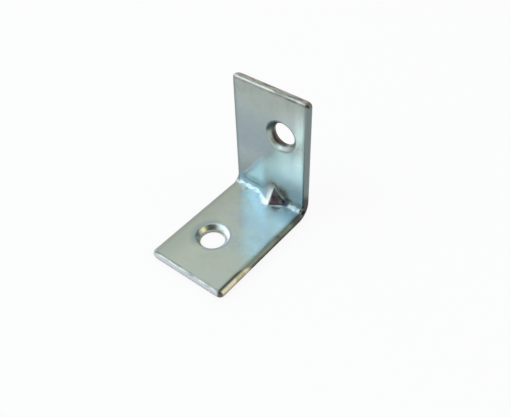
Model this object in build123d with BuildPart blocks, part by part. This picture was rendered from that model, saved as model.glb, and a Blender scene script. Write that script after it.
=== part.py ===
from build123d import *

import os
from math import sqrt

# A small steel corner brace: one flat strap folded square, with a
# countersunk screw hole in each leg and a stiffening dart pressed into the
# fold from behind.  Millimetres, +Z up.  It stands on its base leg with its
# upright at the back, and the origin is below the middle, on the floor.

# The strap
leg = 25.0  # heel to cut end, the same for both legs
width = 16.0
thickness = 1.5
corner_round = 0.9  # the corners of the cut ends, seen square to the leg
edge_round = 0.48  # tumbled almost to a half round where the fold is thin

# The fold
inner_bend = 1.0
heel_draw = 1.2  # how much rounder the heel is than an even wall makes it

# The screw holes, countersunk from inside the fold
hole_diameter = 4.4
sink_diameter = 6.2
sink_angle = 90.0
base_hole_from_end = 9.1
wall_hole_from_end = 8.6
base_hole_side = -1.8  # sideways from the strap's centre line
wall_hole_side = 2.5

# The pressed dart
dart_side = 0.85  # sideways from the strap's centre line
dart_reach = 2.8  # out along each leg from the inside corner
crest_width = 0.5
flank_run = 2.8  # along the inside corner, from the crest to the flank's foot
dart_thinning = 0.15  # metal lost between the ridge and the dent behind it
ridge_round = 0.6
foot_round = 0.9  # hollow where the dart runs out into the legs
dent_round = 0.25
rim_round = 0.3  # lip of the dent in the heel

back = leg / 2
front = -leg / 2
inner_back = back - thickness
heel_bend = inner_bend + thickness + heel_draw
fold_wall = sqrt(2) * thickness - (sqrt(2) - 1) * (heel_bend - inner_bend)
largest_edge_round = 0.48 * fold_wall  # the fold's side stays just short of a half round
largest_foot_round = 0.9 * inner_bend
hole_depth = 2 * thickness

# The dart lies square to the plane that halves the fold.  In that plane the
# inside corner is at zero, and Y points out between the legs.
fold_plane = Plane(
    origin=(dart_side, inner_back, thickness), x_dir=(1, 0, 0), z_dir=(0, -1, -1)
)
ridge_height = dart_reach / sqrt(2)
dent_height = ridge_height - (thickness - dart_thinning)
heel_depth = 2 * thickness
half_crest = crest_width / 2
dent_run = flank_run * (dent_height + heel_depth) / ridge_height

# The dart's ridge, trimmed to end halfway into the metal of each leg
with BuildPart() as ridge:
    with BuildSketch(fold_plane):
        with BuildLine():
            Polyline(
                (-half_crest - flank_run, 0),
                (-half_crest, ridge_height),
                (half_crest, ridge_height),
                (half_crest + flank_run, 0),
                close=True,
            )
        make_face()
        fillet(vertices().sort_by(Axis.Y)[-2:], ridge_round)
    extrude(amount=dart_reach + thickness, both=True)
    split(bisect_by=Plane.XY.offset(thickness / 2), keep=Keep.TOP)
    split(bisect_by=Plane.XZ.offset(thickness / 2 - back), keep=Keep.TOP)

with BuildPart() as corner_brace:
    # The folded strap
    with BuildSketch(Plane.YZ):
        with BuildLine():
            Polyline(
                (front, 0),
                (back, 0),
                (back, leg),
                (inner_back, leg),
                (inner_back, thickness),
                (front, thickness),
                close=True,
            )
        make_face()
        fillet(vertices().sort_by_distance((back, 0))[0], heel_bend)
        fillet(vertices().sort_by_distance((inner_back, thickness))[0], inner_bend)
    extrude(amount=width / 2, both=True)

    # The corners of its cut ends, then every edge of its outline, inside and out
    top_end = faces().sort_by(Axis.Z)[-1]
    front_end = faces().sort_by(Axis.Y)[0]
    fillet(top_end.edges().filter_by(Axis.Y) + front_end.edges().filter_by(Axis.Z), corner_round)
    long_sides = faces().filter_by(Axis.X).edges()
    straight_sides = long_sides.filter_by(lambda edge: edge.length > leg / 2)
    fillet(straight_sides, min(edge_round, largest_edge_round))

    # The dart's ridge, which runs out into both legs in a hollow foot
    add(ridge.part)
    fillet(edges(Select.NEW), min(foot_round, largest_foot_round))

    # The dent behind it, with flanks parallel to those of the ridge
    with BuildSketch(fold_plane):
        with BuildLine():
            Polyline(
                (-dent_run, -heel_depth),
                (0, dent_height),
                (dent_run, -heel_depth),
                close=True,
            )
        make_face()
        fillet(vertices().sort_by(Axis.Y)[-1], dent_round)
    extrude(amount=leg, both=True, mode=Mode.SUBTRACT)
    fillet(edges(Select.NEW), rim_round)

    # The screw holes
    wall_hole_plane = Plane(
        origin=(wall_hole_side, inner_back, leg - wall_hole_from_end),
        x_dir=(1, 0, 0),
        z_dir=(0, -1, 0),
    )
    base_hole_plane = Plane(origin=(base_hole_side, front + base_hole_from_end, thickness))
    with Locations(base_hole_plane, wall_hole_plane):
        CounterSinkHole(hole_diameter / 2, sink_diameter / 2, hole_depth, sink_angle)

corner_brace.part.label = "corner_brace"

os.makedirs("parts", exist_ok=True)
export_step(corner_brace.part, "parts/corner_brace.step")
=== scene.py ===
from math import atan2, cos, radians, sin, sqrt

import bmesh
import bpy
import numpy as np
from mathutils import Matrix, Vector, noise


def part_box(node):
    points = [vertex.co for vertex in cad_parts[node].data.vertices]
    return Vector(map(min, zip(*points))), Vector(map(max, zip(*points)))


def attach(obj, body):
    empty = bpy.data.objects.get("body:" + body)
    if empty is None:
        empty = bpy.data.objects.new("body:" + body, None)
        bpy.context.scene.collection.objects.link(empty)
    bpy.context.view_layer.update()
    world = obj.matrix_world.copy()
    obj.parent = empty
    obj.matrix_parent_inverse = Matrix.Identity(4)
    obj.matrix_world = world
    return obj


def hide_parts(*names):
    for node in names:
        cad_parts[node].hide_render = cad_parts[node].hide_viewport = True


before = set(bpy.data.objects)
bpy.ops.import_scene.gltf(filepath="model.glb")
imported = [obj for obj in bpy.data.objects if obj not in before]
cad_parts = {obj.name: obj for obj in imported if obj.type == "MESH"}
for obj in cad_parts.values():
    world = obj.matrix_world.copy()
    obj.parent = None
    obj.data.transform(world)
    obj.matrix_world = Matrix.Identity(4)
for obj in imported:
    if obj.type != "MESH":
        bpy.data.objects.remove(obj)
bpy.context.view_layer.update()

# The strap: a short length of mild steel flat bar, cropped to length with its
# corners taken off, then tumbled until every edge is round.  Its mesh is a row
# of stations along the strap, each a closed outline of the bar's section.
MM = 0.001
low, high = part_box("corner_brace")
leg = high.z - low.z
back = high.y
half_width = high.x
thickness = 1.5 * MM
corner_round = 0.9 * MM  # at the cut ends, seen square to the leg
end_round = 0.5 * MM  # over the edge of a cut end
side_round = 0.9 * MM  # how far a long edge's rounding reaches over the face
side_turn = 7.5  # degrees from one mesh point of that rounding to the next
flat_half = half_width - side_round

base_hole_from_end = 9.1 * MM
wall_hole_from_end = 8.6 * MM
base_hole_side = -1.8 * MM
wall_hole_side = 2.5 * MM
hole_apron = 4.2 * MM  # half of the square of metal that is meshed round a hole


def spread(start, end, step):
    """Even places from start up to, but not including, end."""
    count = max(1, round(abs(end - start) / step))
    return [start + (end - start) * i / count for i in range(count)]


def spread_all(stretches):
    """Even places along stretches, each given by where it starts and its step."""
    places = []
    for (start, step), (end, _) in zip(stretches, stretches[1:]):
        places += spread(start, end, step)
    return places


def strap_columns():
    """Places across the strap's flat face, with the edges of both aprons among them."""
    stretches = [
        (-flat_half, 0.3 * MM),
        (base_hole_side - hole_apron, 0.25 * MM),
        (wall_hole_side - hole_apron, 0.13 * MM),
        (base_hole_side + hole_apron, 0.2 * MM),
        (wall_hole_side + hole_apron, 0.3 * MM),
        (flat_half, None),
    ]
    return spread_all(stretches) + [flat_half]


def strap_section(face_places):
    """The bar's outline as rows of x and height, from the inner face round."""
    turns = [radians(90 - side_turn * i) for i in range(1, int(180 / side_turn))]
    right = [(flat_half + side_round * cos(a), thickness / 2 * (1 + sin(a))) for a in turns]
    inner = [(x, thickness) for x in face_places]
    outer = [(x, 0) for x in reversed(face_places)]
    left = [(-x, h) for x, h in reversed(right)]
    return np.array(inner + right + outer + left)


columns = strap_columns()
section = strap_section(columns)
face_count = len(columns)
round_count = len(section)
edge_count = round_count // 2 - face_count
facing_sum = 2 * face_count + edge_count - 1  # of an inner column and the outer one behind it

# The fold: the strap is bent square over a sharp block, so it is tight inside
# and drawn round at the heel.  Inside and outside are held as u, out along the
# base from the inside corner, and v, up along the upright.
inner_bend = 1.0 * MM
heel_bend = 3.7 * MM
leg_run = leg - thickness  # inside corner to cut end
fold_run = 5.0 * MM  # from here to the fold, stations lie close and start to fan out
fold_steps = 30
bend_steps = 10
half_fold = 45  # degrees, from a leg to the middle of the fold
corner_turns = [9 * i for i in range(10)]  # degrees round a corner of a cut end
end_turns = [5, 13, 21, 30, 40, 50, 60, 70, 80]  # degrees over the edge of a cut end


def rounded_off(distance, size):
    """How far a rounding of that size has drawn in at a distance from the end."""
    return size - sqrt(size**2 - max(size - distance, 0) ** 2)


def leg_stations(hole_from_end):
    """Half of the strap, from its cut end to the middle of the fold.

    A station is its inner u and v, its outer u and v, and how much of the strap's
    width and height the roundings of the cut end leave there.
    """
    gaps = [corner_round * (1 - cos(radians(turn))) for turn in corner_turns]
    gaps += [end_round * (1 - cos(radians(turn))) for turn in end_turns]
    rows = []
    for gap in sorted(gaps):
        run = leg_run - gap
        width_left = 1 - rounded_off(gap, corner_round) / half_width
        height_left = 1 - rounded_off(gap, end_round) / (thickness / 2)
        rows.append((run, 0, run, -thickness, width_left, height_left))
    hole_run = leg_run - hole_from_end
    stretches = [
        (leg_run - corner_round, 0.3 * MM),
        (hole_run + hole_apron, 0.28 * MM),
        (hole_run - hole_apron, 0.3 * MM),
        (fold_run, None),
    ]
    rows += [(run, 0, run, -thickness, 1, 1) for run in spread_all(stretches)]
    for i in range(fold_steps):
        part = i / fold_steps
        inner = fold_run + (inner_bend - fold_run) * part
        outer = fold_run + (heel_bend - thickness - fold_run) * part
        rows.append((inner, 0, outer, -thickness, 1, 1))
    for i in range(bend_steps + 1):
        turn = radians(half_fold * i / bend_steps)
        inner = inner_bend * (1 - sin(turn)), inner_bend * (1 - cos(turn))
        outer = heel_bend * (1 - sin(turn)) - thickness, heel_bend * (1 - cos(turn)) - thickness
        rows.append((*inner, *outer, 1, 1))
    return rows


base_half = leg_stations(base_hole_from_end)
wall_half = leg_stations(wall_hole_from_end)[-2::-1]
wall_half = [(v1, u1, v2, u2, *left) for u1, v1, u2, v2, *left in wall_half]
stations = np.array(base_half + wall_half)
inner_u, inner_v, outer_u, outer_v, width_left, height_left = stations.T[..., None]

across = section[:, 0] * width_left
height = 0.5 + (section[:, 1] / thickness - 0.5) * height_left
out_u = outer_u + (inner_u - outer_u) * height
out_v = outer_v + (inner_v - outer_v) * height
faces_in = slice(0, face_count)
faces_out = slice(face_count + edge_count, 2 * face_count + edge_count)

# The dart: a blunt wedge is driven into the heel, which dents it and raises a
# ridge inside the fold, so that the two legs can't spread.  Rise is measured out
# of the inside corner and lean from the base towards the upright, both at 45 degrees.
dart_side = 0.85 * MM
dart_reach = 2.8 * MM
ridge_height = dart_reach / sqrt(2)
crest_half = 0.45 * MM
crest_tilt = 0.15  # it reaches further up the upright than along the base
ridge_round = 0.12 * MM
flank_run = 2.9 * MM
flank_hollow = 0.55  # on the upright's side, steeper at the crest and flatter at the foot
drawn_out = 1.0 * MM  # how much further the foot runs on the base's side
crease = 0.9 * MM  # over which the flank turns from one side to the other

# On its left the wedge was worn, so the ridge is rounder there
worn_crest_half = 0.50 * MM
worn_flank_run = 3.5 * MM
worn_ridge_round = 0.18 * MM

# The dent behind it leaves less metal than the strap has
dart_metal = 1.35 * MM
dent_run = 2.8 * MM
dent_round = 0.15 * MM
rim_blend = 0.12 * MM

# The metal that it crowded stands as a low skirt along the inside corner, with
# small wrinkles that die out where the right foot drew it smooth
skirt_blend = 0.4 * MM
skirt_line = np.array([  # sideways from the crest, and height over the inside corner
    (-9.0, 0.30), (-5.6, 0.66), (-4.3, 0.70), (-3.2, 0.72), (-2.0, 0.75), (0.0, 1.0),
    (0.9, 1.02), (1.6, 0.86), (2.2, 0.70), (3.4, 0.28), (4.0, 0.34), (7.2, 0.35),
]) * MM
foot_line = np.array([  # sideways from the crest, and how far the foot blends out
    (-9.0, 0.7), (-4.5, 1.0), (-2.5, 1.4), (-0.8, 1.3),
    (0.3, 0.7), (1.5, 0.4), (3.5, 0.4), (7.2, 0.7),
]) * MM
wrinkle_size = 0.9 * MM
wrinkle_depth = 0.13 * MM
wrinkle_lean = -0.4 * MM  # they lie a little towards the base
wrinkle_band = 1.6  # half of the strip that they cover, in wrinkles
wrinkle_pattern = 3.7  # picks one pattern of many
smooth_side = 1.5 * MM
smooth_half = 0.8 * MM


def blend(a, b, size):
    """The higher of two surfaces, with the hollow between them filled."""
    overlap = np.maximum(size - abs(a - b), 0)
    return np.maximum(a, b) + overlap**2 / (4 * size)


def dart_roof(x, top, crest_half, steepness, size):
    """Rise of the dart over the inside corner, with its crest rounded off by a size."""
    flank = (abs(x - dart_side) - crest_half) * steepness
    return -blend(-top, flank - top, size)


def crowded_metal(x, lean):
    """Small wrinkles along the inside corner, where the punch crowded the metal."""
    wrinkle = np.array([
        [noise.noise((a / wrinkle_size, b / wrinkle_size, wrinkle_pattern)) for a, b in zip(xs, leans)]
        for xs, leans in zip(x, lean)
    ])
    in_band = np.clip(wrinkle_band - abs(lean - wrinkle_lean) / wrinkle_size, 0, 1)
    return wrinkle_depth * wrinkle * in_band


lean = (out_v - out_u) / sqrt(2)
rise = (out_v + out_u) / sqrt(2)
from_crest = across - dart_side
unsmoothed = np.clip((abs(from_crest - smooth_side) - smooth_half) / MM, 0, 1)
wrinkles = crowded_metal(across, lean) * unsmoothed
rise[:, faces_in] += wrinkles[:, faces_in]
worn = from_crest < 0
towards_wall = np.clip(0.5 + lean / crease, 0, 1)
foot_run = flank_run + drawn_out * (1 - towards_wall)
down_flank = np.clip((from_crest - crest_half) / foot_run, 0, 1)
steepness = ridge_height / foot_run * (1 + flank_hollow * (1 - down_flank) * towards_wall)
ridge = dart_roof(
    across,
    ridge_height + crest_tilt * lean,
    np.where(worn, worn_crest_half, crest_half),
    np.where(worn, ridge_height / worn_flank_run, steepness),
    np.where(worn, worn_ridge_round, ridge_round),
)
skirt = np.interp(from_crest, *skirt_line.T)
ridge = blend(ridge, skirt + wrinkles, skirt_blend)
dent = dart_roof(across, ridge_height - dart_metal, 0, ridge_height / dent_run, dent_round)
rise[:, faces_in] = blend(rise, ridge, np.interp(from_crest, *foot_line.T))[:, faces_in]
rise[:, faces_out] = blend(rise, dent, rim_blend)[:, faces_out]
out_u = (rise - lean) / sqrt(2)
out_v = (rise + lean) / sqrt(2)

points = [
    Vector((x, back - thickness - u, thickness + v))
    for xs, us, vs in zip(across, out_u, out_v)
    for x, u, v in zip(xs, us, vs)
]

# The screw holes: punched through each leg, then countersunk from inside the
# fold.  The square apron of metal round a hole is meshed as rings.
hole_round = 2.2 * MM
punch_edge = 0.08 * MM  # the punch rounded the edge at the back by this much
punch_turns = [0, 30, 60, 90]
sink_bends = [  # steepness at its start and end, and length, from the rim down
    (0, 42, 0.50 * MM),
    (42, 52, 0.78 * MM),
    (52, 90, 0.34 * MM),
]
bend_rings = 5
apron_rings = 8


def hole_profile():
    """Radius and height over the outer face, from the countersink's rim down to the back."""
    steps = []
    for start, end, length in sink_bends:
        for i in range(bend_rings):
            slope = radians(start + (end - start) * (i + 0.5) / bend_rings)
            steps.append((cos(slope) * length / bend_rings, sin(slope) * length / bend_rings))
    radius = hole_round + sum(step[0] for step in steps)
    height = thickness
    rows = [(radius, height)]
    for inward, down in steps:
        radius -= inward
        height -= down
        rows.append((radius, height))
    for degrees in punch_turns:
        turn = radians(degrees)
        rows.append((hole_round + punch_edge * (1 - cos(turn)), punch_edge * (1 - sin(turn))))
    return rows


def apron_border(first_column, last_column, first_station, last_station, outer):
    """The mesh points round a hole's apron, as indices, in one turn."""
    def at(station, column):
        if outer:
            column = facing_sum - column
        return station * round_count + column

    border = [at(first_station, c) for c in range(first_column, last_column)]
    border += [at(s, last_column) for s in range(first_station, last_station)]
    border += [at(last_station, c) for c in range(last_column, first_column, -1)]
    border += [at(s, first_column) for s in range(last_station, first_station, -1)]
    return border


def nearest(values, wanted):
    """The index of the value that lies nearest."""
    return int(np.argmin(abs(np.asarray(values) - wanted)))


def punch_hole(side, on_wall):
    """Adds the rings of one hole, and gives its faces and the cells that it takes."""
    hole_run = leg_run - (wall_hole_from_end if on_wall else base_hole_from_end)
    runs = (inner_v if on_wall else inner_u)[:, 0]
    past_fold = np.arange(len(stations)) > len(base_half) - 1
    runs = np.where(past_fold == on_wall, runs, -1)
    rows = sorted(nearest(runs, hole_run + s * hole_apron) for s in (-1, 1))
    cols = [nearest(columns, side + s * hole_apron) for s in (-1, 1)]
    inner = apron_border(*cols, *rows, False)
    outer = apron_border(*cols, *rows, True)

    def place(x, run, h):
        if on_wall:
            return Vector((x, back - h, thickness + run))
        return Vector((x, back - thickness - run, h))

    def angle(index):
        p = points[index]
        run = p.z - thickness if on_wall else back - thickness - p.y
        return atan2(run - hole_run, p.x - side)

    turns = [angle(i) for i in inner]
    profile = hole_profile()

    def ring(radius, h):
        start = len(points)
        for a in turns:
            points.append(place(side + radius * cos(a), hole_run + radius * sin(a), h))
        return list(range(start, start + len(turns)))

    def ease(border, radius, h, part):
        start = len(points)
        for index, a in zip(border, turns):
            rim = place(side + radius * cos(a), hole_run + radius * sin(a), h)
            points.append(points[index].lerp(rim, part))
        return list(range(start, start + len(turns)))

    parts = [i / apron_rings for i in range(1, apron_rings)]
    rings = [inner] + [ease(inner, *profile[0], part) for part in parts]
    rings += [ring(*row) for row in profile]
    rings += [ease(outer, *profile[-1], part) for part in reversed(parts)] + [outer]
    count = len(turns)
    quads = [
        (a[i], a[(i + 1) % count], b[(i + 1) % count], b[i])
        for a, b in zip(rings, rings[1:])
        for i in range(count)
    ]
    taken = set()
    for s in range(rows[0], rows[1]):
        for c in range(cols[0], cols[1]):
            taken.add((s, c))
            taken.add((s, facing_sum - c - 1))
    return quads, taken


base_quads, base_taken = punch_hole(base_hole_side, False)
wall_quads, wall_taken = punch_hole(wall_hole_side, True)
taken = base_taken | wall_taken
quads = base_quads + wall_quads
for s in range(len(stations) - 1):
    for c in range(round_count):
        if (s, c) not in taken:
            d = (c + 1) % round_count
            a, b = s * round_count, (s + 1) * round_count
            quads.append((a + c, a + d, b + d, b + c))


def cut_end(station):
    """The flat of a sheared end, as a strip between the halves of its outline."""
    half = round_count // 2
    start = station * round_count
    middle = face_count + edge_count // 2
    top = [start + (middle - i) % round_count for i in range(half + 1)]
    under = [start + (middle + i) % round_count for i in range(half + 1)]
    strip = []
    for i in range(half):
        loop = [top[i], top[i + 1], under[i + 1], under[i]]
        strip.append(tuple(dict.fromkeys(loop)))
    return strip


quads += cut_end(0) + cut_end(len(stations) - 1)

strap_mesh = bpy.data.meshes.new("corner_brace_plated")
strap_mesh.from_pydata(points, [], quads)
strap_mesh.validate()
strap_mesh.shade_smooth()
brace = bpy.data.objects.new("corner_brace_plated", strap_mesh)
bpy.context.scene.collection.objects.link(brace)

# Flat faces shade flat: each point takes the normals round it by their area
work = bmesh.new()
work.from_mesh(strap_mesh)
bmesh.ops.recalc_face_normals(work, faces=work.faces)
work.to_mesh(strap_mesh)
facings = [
    sum((f.normal * f.calc_area() for f in v.link_faces), Vector()).normalized() for v in work.verts
]
work.free()
strap_mesh.normals_split_custom_set_from_vertices(facings)

# The plate: thin bright zinc, tumbled satin, with the faint blue of its clear
# passivate.  Along the edges it is painted gold at one corner, a painted
# reflection, and painted dull brown or grey elsewhere, painted shade.
zinc = bpy.data.materials.new("satin_zinc")
zinc.use_nodes = True
tree = zinc.node_tree
shader = tree.nodes["Principled BSDF"]
shader.inputs["Metallic"].default_value = 1.0


def node(kind, operation=None, **values):
    """A node of the tree in hand, with its inputs set to values or joined to other nodes.

    An input goes by its name, or by n and its number.
    """
    made = tree.nodes.new("ShaderNode" + kind)
    if operation:
        made.operation = operation
    for name, value in values.items():
        numbered = name[0] == "n" and name[1:].isdigit()
        socket = made.inputs[int(name[1:]) if numbered else name]
        if isinstance(value, bpy.types.NodeSocket):
            tree.links.new(value, socket)
        else:
            socket.default_value = value
    return made.outputs[0]


def gap_between(a, b):
    """The distance from one place to another."""
    return node("VectorMath", "DISTANCE", n0=a, n1=b).node.outputs["Value"]


def fade(value, start, end):
    """An amount that rises smoothly from none at start to all at end."""
    amount = node("MapRange", Value=value, n1=start, n2=end)
    amount.node.interpolation_type = "SMOOTHSTEP"
    return amount


def both(*amounts):
    """Amounts multiplied together."""
    total = amounts[0]
    for amount in amounts[1:]:
        total = node("Math", "MULTIPLY", n0=total, n1=amount)
    return total


def layer(under, over, amount):
    """One colour laid over another as far as the amount says."""
    made = tree.nodes.new("ShaderNodeMix")
    made.data_type = "RGBA"
    for name, value in (("Factor", amount), ("A", under), ("B", over)):
        socket = next(i for i in made.inputs if i.name == name and i.enabled)
        if isinstance(value, bpy.types.NodeSocket):
            tree.links.new(value, socket)
        elif name == "Factor":
            socket.default_value = value
        else:
            socket.default_value = (*value, 1)
    return next(o for o in made.outputs if o.enabled)


place = tree.nodes.new("ShaderNodeTexCoord").outputs["Object"]
split = tree.nodes.new("ShaderNodeSeparateXYZ")
tree.links.new(place, split.inputs[0])
across_x, along_y, up_z = split.outputs

# Each leg, inside, and how far a place lies from the inside corner and the edge
on_upright = fade(along_y, back - 3.2 * MM, back - 1.6 * MM)
on_base = node("Math", "SUBTRACT", n0=1.0, n1=on_upright)
inside_upright = both(on_upright, fade(along_y, back - 0.4 * MM, back - 1.0 * MM))
in_section = node("CombineXYZ", Y=along_y, Z=up_z)
from_fold = gap_between(in_section, (0, back - thickness, thickness))
from_edge = node("Math", "SUBTRACT", n0=half_width, n1=node("Math", "ABSOLUTE", n0=across_x))

# Cloudy patches of the passivate, a few millimetres wide, and finer flecks
clouds = node("TexNoise", Vector=place, Scale=230.0, Detail=3.0, Roughness=0.55)
flecks = node("TexNoise", Vector=place, Scale=1300.0, Detail=4.0, Roughness=0.6)
stains = node("TexNoise", Vector=place, Scale=420.0, Detail=3.0, Roughness=0.6)
plate = layer((0.48, 0.515, 0.455), (0.44, 0.505, 0.50), fade(clouds, 0.36, 0.62))
plate = layer(plate, (0.40, 0.44, 0.41), both(fade(stains, 0.50, 0.70), 0.65))
plate = layer(plate, (0.39, 0.41, 0.38), both(fade(flecks, 0.48, 0.72), 0.4))

# Bluer round the fold and to the left of the dart: painted reflection of the light between the legs,
# broken up by the passivate's clouds
bluer_fold_reflection = both(fade(from_fold, 9.0 * MM, 2.0 * MM), fade(across_x, -4.5 * MM, 3.0 * MM))
plate = layer(plate, (0.42, 0.475, 0.465), both(bluer_fold_reflection, fade(clouds, 0.20, 0.62)))
from_blue_reflection = gap_between(place, (-1.3 * MM, back - 2.6 * MM, 3.0 * MM))
plate = layer(plate, (0.355, 0.47, 0.545), both(fade(from_blue_reflection, 3.0 * MM, 1.0 * MM), 0.8))

# Painted highlight along the dart's crest, and painted shade on the steep
# flank at its right
crest_highlight = both(fade(across_x, -0.4 * MM, 0.6 * MM), fade(across_x, 1.25 * MM, 1.05 * MM))
plate = layer(plate, (0.74, 0.79, 0.84), both(crest_highlight, fade(from_fold, 3.2 * MM, 2.3 * MM)))
flank_shade = both(fade(across_x, 1.25 * MM, 1.5 * MM), fade(across_x, 3.1 * MM, 2.3 * MM))
plate = layer(plate, (0.30, 0.28, 0.29), both(flank_shade, fade(from_fold, 2.9 * MM, 2.3 * MM), 0.8))

# Bluer on the upright, and darker halfway up at the side away from its hole
bluer = both(fade(up_z, 24.0 * MM, 19.0 * MM), fade(up_z, 4.0 * MM, 7.0 * MM), inside_upright)
plate = layer(plate, (0.45, 0.55, 0.62), both(bluer, 0.3))
halfway_up = both(fade(up_z, 21.0 * MM, 15.0 * MM), fade(up_z, 8.5 * MM, 12.5 * MM))
halfway_up = both(halfway_up, fade(across_x, 4.0 * MM, 0.0), inside_upright)
plate = layer(plate, (0.34, 0.42, 0.46), both(halfway_up, 0.5))

# On the base, greener at the front, a little duller in the middle, paler beside
# the fold at the right with a painted reflection of the upright, and greyer at the left
at_base_front = both(fade(along_y, -1.0 * MM, -6.0 * MM), on_base)
plate = layer(plate, (0.50, 0.535, 0.455), both(at_base_front, 0.5))
mid_base = both(fade(along_y, -1.0 * MM, 3.0 * MM), fade(along_y, 7.5 * MM, 4.5 * MM), on_base)
plate = layer(plate, (0.42, 0.455, 0.45), both(mid_base, fade(across_x, -4.0 * MM, 0.0), 0.4))
pale_fold_reflection = both(fade(across_x, 3.0 * MM, 5.5 * MM), fade(along_y, 4.5 * MM, 7.0 * MM), on_base)
plate = layer(plate, (0.45, 0.555, 0.585), both(pale_fold_reflection, 0.8))
to_left = both(fade(across_x, -2.0 * MM, -7.0 * MM), on_base)
plate = layer(plate, (0.39, 0.425, 0.375), both(to_left, 0.8))

# Painted shade low on the upright, darkest at the side of its hole, with a
# painted pale reflection slanting across it at the left
low_shade = both(fade(up_z, 9.5 * MM, 4.0 * MM), inside_upright)
to_hole_side = node("MapRange", Value=across_x, n1=-6.4 * MM, n2=6.4 * MM, n3=0.35, n4=1.0)
plate = layer(plate, (0.20, 0.245, 0.245), both(low_shade, to_hole_side))
over_slant = node("Math", "MULTIPLY_ADD", n0=across_x, n1=-1.36, n2=up_z)
pale_reflection = both(fade(over_slant, 13.0 * MM, 12.0 * MM), fade(across_x, -0.6 * MM, -2.4 * MM))
pale_reflection = both(pale_reflection, fade(up_z, 3.2 * MM, 4.8 * MM), inside_upright)
plate = layer(plate, (0.52, 0.69, 0.77), both(pale_reflection, 0.7))

# Painted blue reflection along the inside corner left of the dart, and painted shade, blue-black, at
# its drawn foot
corner_reflection = both(
    fade(from_fold, 2.9 * MM, 1.7 * MM),
    fade(up_z, thickness + 0.2 * MM, thickness + 0.9 * MM),
    fade(across_x, 0.6 * MM, -0.4 * MM),
)
plate = layer(plate, (0.31, 0.47, 0.56), both(corner_reflection, 0.9))
from_foot_shade = gap_between(place, (3.75 * MM, back - 1.75 * MM, 1.9 * MM))
plate = layer(plate, (0.035, 0.05, 0.10), both(fade(from_foot_shade, 1.0 * MM, 0.5 * MM), 0.85))

# Brighter round the upright's hole, and a painted highlight along the edge beside it
round_hole = both(fade(up_z, 6.5 * MM, 10.0 * MM), fade(up_z, 24.0 * MM, 19.0 * MM))
round_hole = both(round_hole, fade(across_x, 0.5 * MM, 4.0 * MM), inside_upright)
plate = layer(plate, (0.62, 0.67, 0.66), both(round_hole, 0.75))
edge_highlight_by_hole = both(fade(across_x, 4.7 * MM, 6.1 * MM), fade(across_x, 7.3 * MM, 6.8 * MM))
edge_highlight_by_hole = both(edge_highlight_by_hole, fade(up_z, 8.0 * MM, 15.0 * MM), fade(up_z, 25.0 * MM, 18.0 * MM))
plate = layer(plate, (0.80, 0.88, 0.85), both(edge_highlight_by_hole, inside_upright))

# Painted shade on the round long edges, standing for the shadowed floor that
# they mirror: grey, but brown at the base's right and almost black at the right
# of the fold
edge_shade = fade(from_edge, 1.25 * MM, 0.30 * MM)
plate = layer(plate, (0.24, 0.29, 0.28), both(edge_shade, on_upright))
brown_edge_shade = layer((0.12, 0.12, 0.10), (0.22, 0.245, 0.21), fade(clouds, 0.35, 0.60))
brown_edge_shade = layer(brown_edge_shade, (0.075, 0.075, 0.06), fade(up_z, 1.30 * MM, 0.75 * MM))
brown_edge_shade = layer((0.33, 0.36, 0.32), brown_edge_shade, fade(across_x, -1.0 * MM, 1.0 * MM))
plate = layer(plate, brown_edge_shade, both(fade(from_edge, 1.55 * MM, 0.45 * MM), on_base))
fold_edge_shade = both(fade(from_fold, 4.6 * MM, 2.6 * MM), fade(from_edge, 0.9 * MM, 0.3 * MM))
plate = layer(plate, (0.075, 0.075, 0.075), both(fold_edge_shade, fade(across_x, 0.0, 1.0 * MM), 0.85))

# On the cut ends, streaks of grey, a bright sheared band on the base's and a dark
# corner on both
front_end = -back
on_cut_end = node(
    "Math",
    "MAXIMUM",
    n0=fade(along_y, front_end + 0.8 * MM, front_end + 0.35 * MM),
    n1=fade(up_z, leg - 0.8 * MM, leg - 0.35 * MM),
)
streaked = node("Mapping", Vector=place, Scale=(450.0, 2200.0, 2200.0))
streaks = node("TexNoise", Vector=streaked, Scale=1.0, Detail=2.0, Roughness=0.5)
sheared = layer((0.41, 0.39, 0.34), (0.185, 0.18, 0.165), fade(streaks, 0.42, 0.66))
plate = layer(plate, sheared, on_cut_end)
front_band = both(
    fade(along_y, front_end + 0.7 * MM, front_end + 0.4 * MM),
    fade(up_z, 1.42 * MM, 1.22 * MM),
    fade(up_z, 0.30 * MM, 0.50 * MM),
)
plate = layer(plate, (0.77, 0.77, 0.80), front_band)
plate = layer(plate, (0.17, 0.15, 0.14), both(on_cut_end, fade(across_x, 6.9 * MM, 7.4 * MM)))

# Painted gold reflection at the front of the base's right edge, darkening to painted shade low down,
# with a painted dark line of shade on its inner side
slanted_y = node("Math", "MULTIPLY_ADD", n0=across_x, n1=-2.5, n2=along_y)
at_front = fade(slanted_y, -24.0 * MM, -25.3 * MM)
shade_line_by_gold = both(fade(across_x, 6.9 * MM, 7.15 * MM), at_front, on_base)
shade_line_by_gold = both(shade_line_by_gold, fade(along_y, front_end + 0.2 * MM, front_end + 0.7 * MM))
plate = layer(plate, (0.085, 0.10, 0.08), shade_line_by_gold)
gold_reflection = layer((0.66, 0.60, 0.50), (0.44, 0.41, 0.28), fade(stains, 0.42, 0.60))
gold_reflection = layer((0.36, 0.32, 0.22), gold_reflection, fade(up_z, 0.60 * MM, 0.95 * MM))
gold_reflection = layer((0.13, 0.105, 0.075), gold_reflection, fade(up_z, 0.20 * MM, 0.50 * MM))
gold_reflection_area = both(fade(across_x, 7.35 * MM, 7.6 * MM), at_front, on_base)
off_front_end = fade(along_y, front_end + 0.3 * MM, front_end + 0.9 * MM)
plate = layer(plate, gold_reflection, both(gold_reflection_area, off_front_end))
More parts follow.
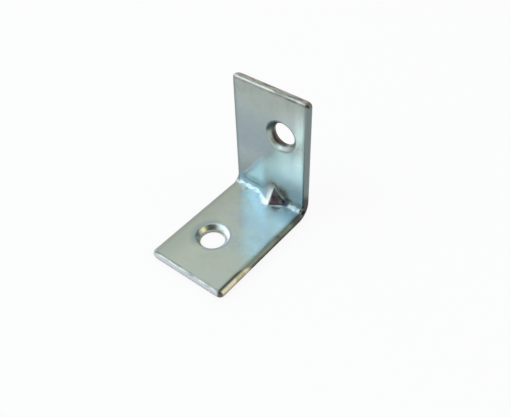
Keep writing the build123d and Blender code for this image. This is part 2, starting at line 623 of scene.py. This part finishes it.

# Duller in the upright's countersink, with painted shade at the upper left, a
# painted highlight at the lower left and painted shade, brown, low in the throat
wall_hole_up = leg - wall_hole_from_end
in_face = node("CombineXYZ", X=across_x, Z=up_z)
from_wall_hole = gap_between(in_face, (wall_hole_side, 0, wall_hole_up))
in_wall_sink = both(
    fade(from_wall_hole, 3.4 * MM, 3.0 * MM),
    fade(along_y, back - 0.1 * MM, back - 0.3 * MM),
    on_upright,
)
plate = layer(plate, (0.31, 0.33, 0.32), both(in_wall_sink, 0.9))
shaded_upper_left = both(
    fade(up_z, wall_hole_up - 0.6 * MM, wall_hole_up + 0.9 * MM),
    fade(across_x, wall_hole_side, wall_hole_side - 1.6 * MM),
)
plate = layer(plate, (0.15, 0.195, 0.18), both(in_wall_sink, shaded_upper_left))
lit_lower_left = both(
    fade(up_z, wall_hole_up + 0.5 * MM, wall_hole_up - 0.5 * MM),
    fade(across_x, wall_hole_side + 0.4 * MM, wall_hole_side - 0.8 * MM),
    fade(from_wall_hole, 2.35 * MM, 2.6 * MM),
)
plate = layer(plate, (0.53, 0.61, 0.54), both(in_wall_sink, lit_lower_left, 0.9))
throat_shade = both(
    fade(from_wall_hole, 2.6 * MM, 2.3 * MM),
    fade(up_z, wall_hole_up + 0.6 * MM, wall_hole_up - 0.6 * MM),
    fade(across_x, wall_hole_side + 1.3 * MM, wall_hole_side),
    on_upright,
)
plate = layer(plate, (0.12, 0.10, 0.085), throat_shade)

# A painted highlight at the right in the base's countersink, with a dull rim on
# that side, and darker round the hole on the other
on_top = node("CombineXYZ", X=across_x, Y=along_y)
from_base_hole = gap_between(on_top, (base_hole_side, front_end + base_hole_from_end, 0))
in_base_sink = both(
    fade(from_base_hole, 3.4 * MM, 3.0 * MM), on_base, fade(up_z, 0.1 * MM, 0.3 * MM)
)
lit_right = fade(across_x, base_hole_side - 0.2 * MM, base_hole_side + 1.2 * MM)
plate = layer(plate, (0.86, 0.86, 0.90), both(in_base_sink, lit_right))
at_rim = both(fade(from_base_hole, 2.85 * MM, 3.1 * MM), fade(from_base_hole, 3.7 * MM, 3.2 * MM))
plate = layer(plate, (0.36, 0.41, 0.45), both(at_rim, on_base, lit_right))
darker_at_left = both(fade(from_base_hole, 4.4 * MM, 3.2 * MM), fade(from_base_hole, 2.8 * MM, 3.2 * MM))
darker_at_left = both(darker_at_left, fade(across_x, base_hole_side, base_hole_side - 2.2 * MM), on_base)
plate = layer(plate, (0.27, 0.34, 0.36), both(darker_at_left, 0.7))
tree.links.new(plate, shader.inputs["Base Color"])

# Satin all over, and duller on the sheared ends, under the painted gold reflection and in the
# countersinks
satin = node("MapRange", Value=flecks, n1=0.3, n2=0.7, n3=0.17, n4=0.27)
sunk = node("Math", "MAXIMUM", n0=in_base_sink, n1=in_wall_sink)
cut = node("Math", "MAXIMUM", n0=sunk, n1=on_cut_end)
rough = node("Math", "MULTIPLY_ADD", n0=cut, n1=0.07, n2=satin)
rough = node("Math", "MULTIPLY_ADD", n0=gold_reflection_area, n1=0.12, n2=rough)
rough = node("Math", "MULTIPLY_ADD", n0=in_wall_sink, n1=0.12, n2=rough)
tree.links.new(rough, shader.inputs["Roughness"])

# The flat bar is never quite flat, and keeps the fine grain of the rolling mill
waves = node("TexNoise", Vector=place, Scale=150.0, Detail=1.0)
wavy = node("Bump", Strength=1.0, Distance=0.05 * MM, Height=waves)
grain_place = node("Mapping", Vector=place, Scale=(2600.0, 260.0, 260.0))
grain = node("TexNoise", Vector=grain_place, Scale=1.0, Detail=3.0, Roughness=0.6)
grained = node("Bump", Strength=1.0, Distance=0.002 * MM, Height=grain, Normal=wavy)
tree.links.new(grained, shader.inputs["Normal"])

strap_mesh.materials.append(zinc)
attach(brace, "root")
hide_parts("corner_brace")

# The floor: a plain white sheet under the brace.  It glows white, most to the lens
# and a little to the metal, so that only a soft shadow shows on it.
bpy.ops.mesh.primitive_plane_add(size=2)
floor = bpy.context.object
floor.name = "floor"
paper = bpy.data.materials.new("white_paper")
paper.use_nodes = True
tree = paper.node_tree
sheet = tree.nodes["Principled BSDF"]
sheet.inputs["Base Color"].default_value = (0.75, 0.715, 0.715, 1)
sheet.inputs["Roughness"].default_value = 0.8
white_to_lens = 0.90
white_to_metal = 0.2
seen = tree.nodes.new("ShaderNodeLightPath")
mirrored = node("Math", "MULTIPLY", n0=seen.outputs["Is Glossy Ray"], n1=white_to_metal)
seen_white = node("Math", "MAXIMUM", n0=seen.outputs["Is Camera Ray"], n1=mirrored)
share = node("Math", "MULTIPLY", n0=seen_white, n1=white_to_lens)
white = node("Emission", Color=(1, 1, 1, 1), Strength=1.0)
paper_mix = node("MixShader", n0=share, n1=sheet.outputs["BSDF"], n2=white)
tree.links.new(paper_mix, tree.nodes["Material Output"].inputs["Surface"])
floor.data.materials.append(paper)

# The studio: a pale room, lit by a cold window high at the front left.  It is
# bright at the left and blue overhead, with a small warm patch at the right, and
# dark behind the camera and low at the right.
world = bpy.data.worlds.new("studio")
bpy.context.scene.world = world
world.use_nodes = True
tree = world.node_tree
sky = tree.nodes["Background"]
way = tree.nodes.new("ShaderNodeTexCoord").outputs["Generated"]
pale_wall = (0.86, 0.89, 0.84)
dark_wall = (0.12, 0.10, 0.125)


def wall_patch(room, direction, inner, outer, color):
    """A soft round patch of another colour on the room's walls, sized by two angles."""
    toward = Vector(direction).normalized()
    nearness = node("VectorMath", "DOT_PRODUCT", n0=way, n1=toward).node.outputs["Value"]
    rim, core = cos(radians(outer)), cos(radians(inner))
    return layer(room, color, node("MapRange", Value=nearness, n1=rim, n2=core))


room = wall_patch(pale_wall, (-0.88, -0.05, 0.48), 18, 28, (2.0, 2.2, 2.25))
room = wall_patch(room, (-0.46, -0.15, 0.87), 20, 32, (1.0, 1.3, 1.55))
room = wall_patch(room, (0.80, 0.24, 0.55), 10, 17, (2.2, 1.95, 1.05))
room = wall_patch(room, (0.58, -0.55, 0.60), 24, 40, dark_wall)
room = wall_patch(room, (0.93, -0.33, 0.18), 8, 18, dark_wall)
# The lens sees the walls white, as it does the floor
seen = tree.nodes.new("ShaderNodeLightPath")
room = layer(room, (0.98, 0.98, 0.98), seen.outputs["Is Camera Ray"])
tree.links.new(room, sky.inputs["Color"])
sky.inputs["Strength"].default_value = 1.0

pane = bpy.data.lights.new("window", "AREA")
pane.size = 0.25
pane.energy = 0.32
pane.color = (0.64, 0.84, 1.0)
window = bpy.data.objects.new("window", pane)
window.location = (-0.16, -0.19, 0.245)
lit_place = Vector((0, 0, 0.01))
window.rotation_euler = (lit_place - window.location).to_track_quat("-Z", "Y").to_euler()
bpy.context.scene.collection.objects.link(window)

# The camera: it stands at the right of the brace's front and looks down on it,
# where the photograph was taken from.
aim = Vector((-1.016, 7.655, 0)) * MM
distance = 121.25 * MM
azimuth, elevation, roll = radians(40.06), radians(44.61), radians(-2.2)
lens = bpy.data.cameras.new("camera")
lens.lens = 45.87
lens.sensor_width = 36
lens.clip_start = 0.01
camera = bpy.data.objects.new("camera", lens)
toward = Vector((-sin(azimuth) * cos(elevation), cos(azimuth) * cos(elevation), -sin(elevation)))
camera.matrix_world = (
    Matrix.Translation(aim - toward * distance)
    @ toward.to_track_quat("-Z", "Y").to_matrix().to_4x4()
    @ Matrix.Rotation(roll, 4, "Z")
)
bpy.context.scene.collection.objects.link(camera)
bpy.context.scene.camera = camera
bpy.context.scene.view_settings.view_transform = "Standard"
